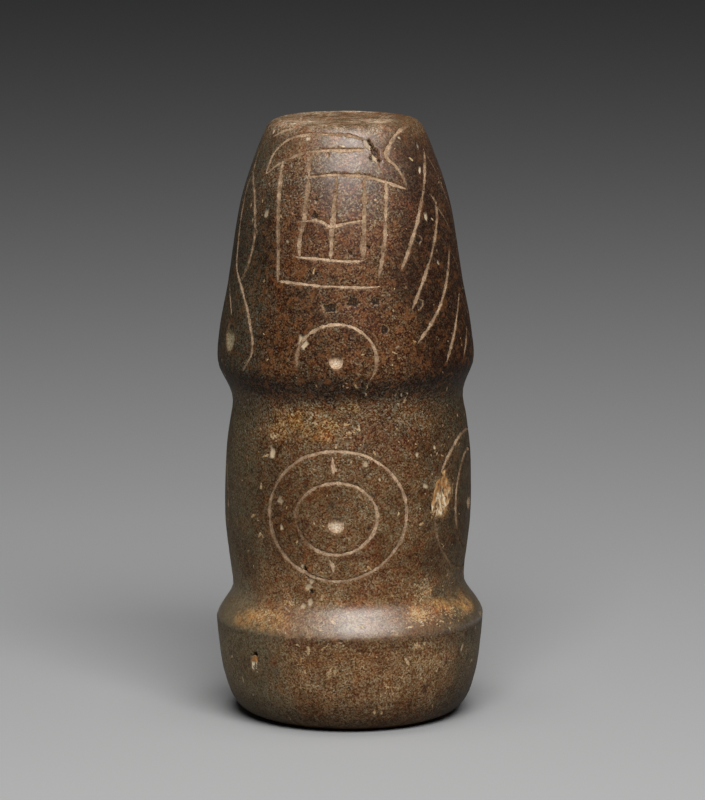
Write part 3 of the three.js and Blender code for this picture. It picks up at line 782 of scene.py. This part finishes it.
class Tree:
    """A material's node tree, built by naming each node's kind, properties and inputs."""

    def __init__(self, name):
        self.material = bpy.data.materials.new(name)
        self.material.use_nodes = True
        self.nodes, self.links = self.material.node_tree.nodes, self.material.node_tree.links

    @functools.cached_property
    def place(self):
        """The place on the object, in millimetres."""
        return self.vector("MULTIPLY", self.add("TexCoord").outputs["Object"], (1 / MM,) * 3)

    def feed(self, socket, value):
        if isinstance(value, bpy.types.NodeSocket):
            self.links.new(value, socket)
        else:
            socket.default_value = (*value, 1) if socket.type == "RGBA" else value

    def feed_all(self, node, inputs):
        for name, value in inputs.items():
            self.feed(node.inputs[name.replace("_", " ")], value)

    def add(self, kind, properties=None, **inputs):
        node = self.nodes.new(f"ShaderNode{kind}")
        for name, value in (properties or {}).items():
            setattr(node, name, value)
        self.feed_all(node, inputs)
        return node

    def noise(self, size, detail=4, roughness=0.55, place=None):
        vector = place or self.place
        node = self.add("TexNoise", Vector=vector, Scale=1 / size, Detail=detail, Roughness=roughness)
        return node.outputs["Fac"]

    def patchy(self, size, low, high, start=0, end=1, **texture):
        return self.ramp(self.noise(size, **texture), low, high, start, end)

    def cells(self, size, output="Color"):
        return self.add("TexVoronoi", Vector=self.place, Scale=1 / size).outputs[output]

    def ramp(self, value, low, high, start=0, end=1):
        ends = {"From_Min": low, "From_Max": high, "To_Min": start, "To_Max": end}
        node = self.add("MapRange", {"interpolation_type": "SMOOTHSTEP"}, Value=value, **ends)
        return node.outputs["Result"]

    def operate(self, kind, operation, values):
        node = self.add(kind, {"operation": operation})
        for socket, value in zip(node.inputs, values):
            self.feed(socket, value)
        return node.outputs

    def maths(self, operation, *values):
        return self.operate("Math", operation, values)["Value"]

    def vector(self, operation, *values):
        number = operation in ("DISTANCE", "DOT_PRODUCT")
        return self.operate("VectorMath", operation, values)["Value" if number else "Vector"]

    def times(self, *values):
        return functools.reduce(functools.partial(self.maths, "MULTIPLY"), values)

    def greatest(self, *values):
        return functools.reduce(functools.partial(self.maths, "MAXIMUM"), values)

    def mix(self, share, first, second, blend="MIX"):
        node = self.add("Mix", {"data_type": "RGBA", "blend_type": blend}, Factor=share)
        self.feed(node.inputs[6], first)
        self.feed(node.inputs[7], second)
        return node.outputs[2]

    def layers(self, colour, *layers):
        """The colour under layers of (share, tint) or (share, tint, blend), from the lowest up."""
        for share, tint, *blend in layers:
            colour = self.mix(share, colour, tint, *blend)
        return colour

    def attribute(self, name):
        return self.add("Attribute", {"attribute_name": name}).outputs["Fac"]

    def channel(self, colour, name):
        return self.add("SeparateColor", Color=colour).outputs[name]

    def spread(self, value, powers):
        """A colour with the value to these powers in its red, green and blue."""
        red, green, blue = (self.maths("POWER", value, power) for power in powers)
        return self.add("CombineColor", Red=red, Green=green, Blue=blue).outputs["Color"]

    def levels(self, value, stops):
        """The level at a value, from (value, level) stops that start at 0, with levels up to 2."""
        reach = stops[-1][0]
        node = self.add("ValToRGB", Fac=self.maths("DIVIDE", value, reach))
        elements = node.color_ramp.elements
        for at, _ in stops[1:-1]:
            elements.new(at / reach)
        for element, (_, level) in zip(elements, stops):
            element.color = (level / 2, level / 2, level / 2, 1)
        return self.maths("MULTIPLY", node.outputs["Color"], 2)

    def flakes(self, flat, size, long, thin, share):
        """1 on slivers that lie every way in an unrolled surface, in that share of its cells."""
        cells = self.add("TexVoronoi", {"voronoi_dimensions": "2D"}, Vector=flat, Scale=1 / size).outputs
        offset = self.vector("SUBTRACT", flat, cells["Position"])
        drawn = self.vector("SUBTRACT", cells["Color"], (0.5, 0.5, 0.5))
        way = self.vector("NORMALIZE", self.vector("MULTIPLY", drawn, (1, 1, 0)))
        along = self.maths("POWER", self.maths("ABSOLUTE", self.vector("DOT_PRODUCT", offset, way)), 2)
        across = self.maths("SUBTRACT", self.vector("DOT_PRODUCT", offset, offset), along)
        away = self.maths("ADD", self.maths("DIVIDE", along, long**2), self.maths("DIVIDE", across, thin**2))
        away = self.maths("ADD", away, self.ramp(self.channel(cells["Color"], "Blue"), 0, 1, 0, 0.8))
        draw = self.add("TexWhiteNoise", Vector=cells["Position"]).outputs["Value"]
        return self.times(self.ramp(away, 1.2, 0.6), self.maths("LESS_THAN", draw, share))

    def bump(self, heights, depth, **inputs):
        return self.add("Bump", Height=heights, Distance=depth * MM, **inputs).outputs["Normal"]

    def finish(self, **inputs):
        self.feed_all(self.nodes["Principled BSDF"], inputs)
        return self.material


# The stone's colours, and tints that it is multiplied by
DARK_BROWN, BROWN, OLIVE_BROWN = (0.12, 0.064, 0.025), (0.205, 0.104, 0.037), (0.178, 0.117, 0.057)
RUST, DEEP_RUST, DARK_RUST = (0.178, 0.066, 0.02), (0.12, 0.047, 0.019), (0.052, 0.024, 0.011)
# The neck's grime is partly painted shade under the collar; near black is the colour of black pores and
# clots, and painted shade in chips, cut pores and emptied grooves
OCHRE, GRIME_AND_SHADE, NEAR_BLACK = (0.38, 0.205, 0.066), (0.058, 0.037, 0.019), (0.012, 0.009, 0.006)
# Olive is the flanks' tone; shaded olive, dark olive and dark rust darken it with painted shade
OLIVE, SHADED_OLIVE, DARK_OLIVE = (0.138, 0.108, 0.06), (0.088, 0.068, 0.038), (0.068, 0.052, 0.028)
CREAM, DUSTY, SHARD = (0.54, 0.42, 0.27), (0.3, 0.19, 0.105), (0.55, 0.41, 0.24)
TAN, PALE_CROWN = (0.32, 0.235, 0.148), (0.52, 0.43, 0.3)
# Shaded is painted shade for the left of the head; shade and stain darkens the dark patches, partly painted
# shade and partly stains
SHADED, SHADE_AND_STAIN, REDDENED = (0.72, 0.7, 0.7), (0.6, 0.56, 0.52), (1.08, 0.82, 0.68)
WARM_GRAIN, COOL_GRAIN = (1.08, 0.98, 0.92), (0.98, 1.01, 0.97)
DIM_MOTTLE, BRIGHT_MOTTLE = (0.82, 0.82, 0.84), (1.18, 1.16, 1.12)

# Colours of the pale fill, from faint to chalky, with its grains' tints, and of the crystal pockets
FAINT_FILL, PALE_FILL, CHALKY_FILL = (0.17, 0.1, 0.052), (0.45, 0.315, 0.203), (0.64, 0.53, 0.39)
OLIVE_TINT, DIM_GRAIN, BRIGHT_GRAIN = (0.85, 1.02, 1), (0.5, 0.46, 0.42), (1.3, 1.3, 1.3)
ORANGE_CRYSTAL, HONEY_CRYSTAL, PALE_CRYSTAL = (0.34, 0.14, 0.035), (0.42, 0.25, 0.1), (0.74, 0.61, 0.42)
CRYSTAL_GAP = (0.06, 0.03, 0.014)

# Pale spots on the crown, as places and radii, the radius at which the surface is unrolled for shards, and
# shards, as spacing, half length and half width
PALE_CROWN_SPOTS = [((6, -8, 165), 9), ((-13, -9, 165), 9), ((1, 18, 164), 9), ((-9, 15, 164.5), 7)]
MEAN_RADIUS = 33
SHARD_SIZES = ((2.2, 1.3, 0.4), (1.3, 0.8, 0.28), (0.8, 0.4, 0.2))

# Brightness of the grains over their random draw
GRAIN_LIGHT = [(0, 0.2), (0.5, 0.95), (1, 1.8)]

# Powers of a grain's brightness in red, green and blue: dark grains are redder than bright ones
GRAIN_TINT = (0.66, 1.04, 1.55)

# How bright it is along its height, its tone with painted shade towards the foot, just under the crease and
# under the collar, how grainy it is, how far the olive flank reaches, and where it is polished
TONES = [
    (0, 0.28), (6, 0.52), (11, 0.95), (15, 1.16), (20, 1.22), (24, 1), (26.5, 0.76), (28.5, 1.05),
    (34, 1.15), (40, 1.1), (50, 0.78), (66, 0.72), (80, 0.68), (87, 0.68), (91, 0.64), (95, 0.46),
    (98, 0.36), (104, 0.4), (120, 0.42), (136, 0.52), (148, 0.73), (158, 0.82), (HEIGHT, 0.62),
]
GRAIN = [
    (0, 1), (26, 1), (28, 0.7), (34, 0.85), (40, 0.95), (66, 1), (80, 1.25), (100, 1.65), (150, 1.6),
    (158, 1.1), (HEIGHT, 0.8),
]
FLANK = [(0, 0.12), (26, 0.12), (29, 0.38), (92, 0.3), (104, 0.26), (135, 0.26), (HEIGHT, 0.35)]
POLISH = [
    (0, 0.05), (26.5, 0.1), (28, 1), (33.5, 1), (37, 0.15), (45, 0.05), (108, 0.05), (125, 0.13),
    (138, 0.28), (148, 0.47), (154, 0.75), (164, 0.8), (HEIGHT, 0.28),
]


def zones(t):
    """Where a point lies on the stone, and from 0 to 1 how far it is in each of its zones."""
    x, y, z = t.add("SeparateXYZ", Vector=t.place).outputs
    around = t.maths("SQRT", t.maths("ADD", t.times(x, x), t.times(y, y)))
    wander = t.patchy(11, 0.25, 0.75, -0.12, 0.12)
    sideways = t.maths("ADD", t.maths("DIVIDE", x, around), wander)
    wall = t.ramp(z, 164, 158)
    left = t.times(t.ramp(t.maths("ADD", sideways, t.levels(z, FLANK)), -0.25, -0.6), wall)
    right = t.times(t.ramp(t.maths("ADD", sideways, t.ramp(z, 92, 104, 0, 0.28)), 0.58, 0.92), wall)
    return SimpleNamespace(
        x=x, y=y, z=z, around=around, left=left, right=right,
        neck=t.times(t.ramp(z, 90, 93.5), t.ramp(z, 100, 96)),
        lower_head=t.times(t.ramp(z, 84, 104), t.ramp(z, 136, 152, 1, 0.2)),
        shaded_head_left=t.times(t.ramp(sideways, -0.12, -0.42), t.ramp(z, 98, 106), t.ramp(z, 156, 146)),
        grainy=t.maths("SUBTRACT", 1, t.greatest(t.times(left, 0.4), t.times(right, 0.25))),
    )


def ground_colour(t, zone):
    """Brown and rust, olive at the flanks and dark at the neck, with stains, and with painted shade on the
    left of the head, at the flanks, under the collar, in dark patches and towards the foot.
    """
    clouds = t.patchy(9, 0.32, 0.62, detail=6, roughness=0.6)
    rusty = t.patchy(12, 0.43, 0.6, detail=9, roughness=0.7)
    uneven = t.patchy(4, 0.35, 0.65, detail=7)
    rotten = t.patchy(3, 0.38, 0.6, detail=6)
    return t.layers(
        DARK_BROWN,
        (clouds, t.mix(zone.lower_head, OLIVE_BROWN, BROWN)),
        (t.times(rusty, t.ramp(zone.lower_head, 0, 1, 0.2, 0.75)), RUST),
        # Painted shade: the left of the head is darkened where light falls off
        (zone.shaded_head_left, SHADED, "MULTIPLY"),
        # The flanks: olive on the left, dark olive and dark rust on the right in tone, darkened with painted
        # shade where light falls off to the sides
        (t.times(zone.left, 0.95), t.mix(t.ramp(zone.z, 114, 134), OLIVE, SHADED_OLIVE)),
        (t.times(zone.right, 0.9), t.mix(t.ramp(zone.z, 92, 100), DARK_OLIVE, DARK_RUST)),
        # The neck under the collar is darkened: partly grime, partly painted shade
        (t.times(zone.neck, 0.8), GRIME_AND_SHADE),
        # Dark patches, partly painted shade where light falls off, partly dark stains
        (t.times(t.attribute("dark"), t.ramp(uneven, 0, 1, 1, 0.6)), SHADE_AND_STAIN, "MULTIPLY"),
        (t.times(t.attribute("ochre"), t.ramp(uneven, 0, 1, 0.2, 0.85)), OCHRE),
        (t.times(t.attribute("rust"), rotten, 0.75), DEEP_RUST),
        # Brightness along the height: the stone's tone, with painted shade towards the foot, just under the
        # crease and under the collar
        (1, t.levels(zone.z, TONES), "MULTIPLY"),
    )


def crown_colour(t, zone, colour):
    """The colour with a tan rim, in part a painted highlight along the top edge, and pale spots on the crown.
    """
    flaked = t.patchy(3, 0.38, 0.62, detail=7, roughness=0.65)
    broken = t.patchy(5, 0.4, 0.6, detail=6, roughness=0.65)
    rim = t.times(t.ramp(zone.z, 159, 164.8), flaked, t.ramp(zone.x, 15, 9), 0.55)
    layers = [(rim, TAN)]
    for centre, radius in PALE_CROWN_SPOTS:
        spot = t.ramp(t.vector("DISTANCE", t.place, centre), radius, radius * 0.2)
        layers.append((t.times(spot, broken, 0.85), PALE_CROWN))
    return t.layers(colour, *layers)


def grain_colour(t, zone, colour, grit):
    """The colour in grains of many shades, with mottling and red blotches among them."""
    grains = t.cells(0.37)
    light = t.times(t.levels(t.channel(grains, "Red"), GRAIN_LIGHT), t.ramp(grit, 0, 1, 0.6, 1.4))
    speckle = t.maths("POWER", light, t.times(zone.grainy, t.levels(zone.z, GRAIN)))
    blotches = t.patchy(2.6, 0.5, 0.63, roughness=0.6)
    mottle = t.patchy(3.2, 0.35, 0.65, detail=5, roughness=0.65)
    rusty = t.patchy(2, 0.5, 0.64, detail=5, roughness=0.65)
    return t.layers(
        colour,
        (1, t.spread(speckle, GRAIN_TINT), "MULTIPLY"),
        (zone.grainy, t.mix(t.channel(grains, "Green"), WARM_GRAIN, COOL_GRAIN), "MULTIPLY"),
        (t.times(blotches, zone.grainy, t.ramp(zone.z, 26, 40, 0.5, 1)), REDDENED, "MULTIPLY"),
        (zone.grainy, t.mix(mottle, DIM_MOTTLE, BRIGHT_MOTTLE), "MULTIPLY"),
        (t.times(rusty, zone.grainy, t.ramp(zone.lower_head, 0, 1, 0.25, 0.5)), RUST),
    )


def fleck_colour(t, zone, colour, grit):
    """The colour with pale shards, strewn thinly and in clusters, and with black pores."""
    turn = t.maths("ARCTAN2", zone.x, t.times(zone.y, -1))
    rise = t.maths("SUBTRACT", zone.z, zone.around)
    unrolled = t.add("CombineXYZ", X=t.times(turn, MEAN_RADIUS), Y=rise).outputs["Vector"]
    strayed = t.add("TexNoise", Vector=t.place, Scale=1 / 0.7, Detail=2).outputs["Color"]
    bent = t.vector("MULTIPLY_ADD", strayed, (0.8, 0.8, 0), unrolled)
    strewn = t.patchy(7, 0.5, 0.7, 0.004, 0.06, detail=3)
    strewn = t.times(strewn, t.ramp(zone.z, 95, 108, 1, 0.4))
    share = t.times(t.greatest(strewn, t.attribute("shards")), zone.grainy, 0.75)
    shards = t.greatest(*(t.flakes(bent, *size, share) for size in SHARD_SIZES))
    broken = t.patchy(0.9, 0.35, 0.6, detail=3)
    pores = t.ramp(t.cells(1.2, "Distance"), 0.21, 0.1)
    clots = t.ramp(t.cells(6, "Distance"), 0.2, 0.12)
    holes = t.greatest(t.times(pores, zone.grainy, 0.85), t.times(clots, 0.5))
    return t.layers(
        colour,
        (t.times(shards, t.ramp(grit, 0, 1, 0.45, 0.95)), t.mix(broken, OCHRE, SHARD)),
        (t.times(holes, broken), NEAR_BLACK),
    )


def stone_ground(t):
    """The stone's colour without its cuts and chips, and the height that it is at."""
    zone = zones(t)
    grit = t.patchy(0.5, 0.35, 0.65, detail=3, roughness=0.75)
    colour = crown_colour(t, zone, ground_colour(t, zone))
    colour = grain_colour(t, zone, colour, grit)
    return fleck_colour(t, zone, colour, grit), zone.z


def stone_material():
    t = Tree("stone")
    ground, z = stone_ground(t)
    dust, pale, black = (t.attribute(name) for name in ("dust", "pale", "black"))
    speckled = t.patchy(0.55, 0.35, 0.65, detail=3)
    ragged = t.patchy(0.5, 0.38, 0.6)
    lip = t.times(t.ramp(black, 0.02, 0.25), t.ramp(black, 0.8, 0.45), ragged, 0.6)
    colour = t.layers(
        ground,
        (t.times(dust, speckled, 0.6), DUSTY),
        (t.times(pale, 0.9), CREAM),
        # Black chips and pores are painted near black: painted shade in their hollows
        (t.times(black, t.ramp(ragged, 0, 1, 1, 0.6)), NEAR_BLACK),
        (lip, DUSTY),
    )
    worn = t.patchy(7, 0.3, 0.7, 0.8, 1, detail=5)
    unmarked = t.maths("SUBTRACT", 1, t.greatest(dust, black, pale))
    polish = t.times(t.levels(z, POLISH), worn, unmarked)
    rough = t.ramp(polish, 0, 1, 0.6, 0.48)
    relief = t.bump(t.noise(0.6), 0.028)
    relief = t.bump(t.noise(1.8, detail=3), 0.035, Normal=relief)
    return t.finish(
        Base_Color=colour, Roughness=rough, Specular_IOR_Level=0.08, Normal=relief,
        Coat_Weight=polish, Coat_Roughness=0.47, Coat_IOR=1.83, Coat_Normal=relief,
    )


def fill_material():
    t = Tree("pale_fill")
    ground, _ = stone_ground(t)
    shade = t.attribute("shade")
    grain = t.channel(t.cells(0.36), "Red")
    pale = t.layers(
        FAINT_FILL,
        (t.ramp(shade, 0.25, 1), PALE_FILL),
        (t.ramp(shade, 1, 1.5), CHALKY_FILL),
        (t.attribute("olive"), OLIVE_TINT, "MULTIPLY"),
        (0.8, t.mix(grain, DIM_GRAIN, BRIGHT_GRAIN), "MULTIPLY"),
    )
    ragged = t.patchy(0.6, 0.3, 0.7, -0.3, 0.3, roughness=0.7)
    cover = t.ramp(t.maths("ADD", shade, ragged), 0.12, 0.5, 0.15, 1)
    # Where the fill is faint it turns near black: painted shade in emptied grooves and under a pit's upper
    # lip
    colour = t.layers(ground, (t.ramp(shade, 0.3, 0.1), NEAR_BLACK), (cover, pale))
    rough = t.ramp(shade, 0, 1, 0.7, 0.92)
    relief = t.bump(t.noise(0.4), 0.05)
    return t.finish(Base_Color=colour, Roughness=rough, Specular_IOR_Level=0.2, Normal=relief)


def crystal_material():
    t = Tree("pale_crystal")
    streaked = t.vector("MULTIPLY", t.place, (1, 1, 0.5))
    middle = t.ramp(t.attribute("shade"), 0.45, 1.5, 0, 2)
    streaks = t.maths("ADD", t.noise(1.2, detail=6, roughness=0.7, place=streaked), t.times(middle, 0.12))
    gaps = t.patchy(0.9, 0.53, 0.62, 0, 0.9, detail=5, roughness=0.65, place=streaked)
    colour = t.layers(
        ORANGE_CRYSTAL,
        (t.ramp(streaks, 0.46, 0.58), HONEY_CRYSTAL),
        (t.ramp(streaks, 0.57, 0.7), PALE_CRYSTAL),
        (gaps, CRYSTAL_GAP),
    )
    return t.finish(Base_Color=colour, Roughness=0.65, Normal=t.bump(streaks, 0.3))


# The scene, in metres
FLOOR_GREY, FLOOR_REACH = (0.35, 0.35, 0.35), 6
WORLD_GREY, WORLD_STRENGTH = (0.2, 0.2, 0.2, 1), 0.1

# Lights: place, aim, size and watts
LIGHTS = {
    "softbox": ((0.13, -0.85, 0.97), (0, 0, 0.09), (0.94, 0.5), 20),
    "top_light": ((0, -0.1, 1.1), (0, 0, 0.08), (0.5, 0.4), 4),
}


def aimed(name, data, place, aim):
    made = piece(name, data)
    made.location = place
    made.rotation_euler = (Vector(aim) - Vector(place)).to_track_quat("-Z", "Y").to_euler()
    return made


def add_camera():
    data = bpy.data.cameras.new("camera")
    data.lens = CAMERA_LENS
    place, aim = Vector(CAMERA_PLACE) * MM, Vector(CAMERA_AIM) * MM
    bpy.context.scene.camera = aimed("camera", data, place, aim)


def add_floor():
    mesh = bpy.data.meshes.new("floor")
    far = FLOOR_REACH
    mesh.from_pydata([(-far, -far, 0), (far, -far, 0), (far, far, 0), (-far, far, 0)], [], [(0, 1, 2, 3)])
    floor = piece("floor", mesh)
    mesh.materials.append(Tree("floor").finish(Base_Color=FLOOR_GREY, Roughness=0.9))


def light_scene():
    world = bpy.data.worlds.new("studio")
    world.use_nodes = True
    background = world.node_tree.nodes["Background"]
    background.inputs["Color"].default_value = WORLD_GREY
    background.inputs["Strength"].default_value = WORLD_STRENGTH
    bpy.context.scene.world = world
    bpy.context.scene.view_settings.view_transform = "Standard"
    for name, (place, aim, size, watts) in LIGHTS.items():
        data = bpy.data.lights.new(name, "AREA")
        data.shape, data.size, data.size_y, data.energy = "RECTANGLE", *size, watts
        aimed(name, data, place, aim)


def dress(made, node, material):
    made.data.materials.clear()
    made.data.materials.append(material)
    made.data.shade_smooth()
    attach(made, "root")
    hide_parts(node)


add_camera()
dress(piece("pestle_stone", stone_mesh()), "stone_body", stone_material())
fill, crystal = fill_material(), crystal_material()
for k, (node, lines) in enumerate(LINES.items()):
    dress(line_piece(node, lines, STRIP_SEED + 50 * k), node, fill)
for k, pit in enumerate(PITS):
    dish = dish_piece(pit, FILL_ROUGH, DISH_SEED + k, olive=float(pit[0] == "stem_pit_fill"))
    dress(dish, pit[0], fill)
for k, pocket in enumerate(POCKETS):
    dish = dish_piece(pocket, CRYSTAL_ROUGH, CRYSTAL_SEED + k, POCKET_SPREAD, POCKET_LEAN)
    dress(dish, pocket[0], crystal)
add_floor()
light_scene()
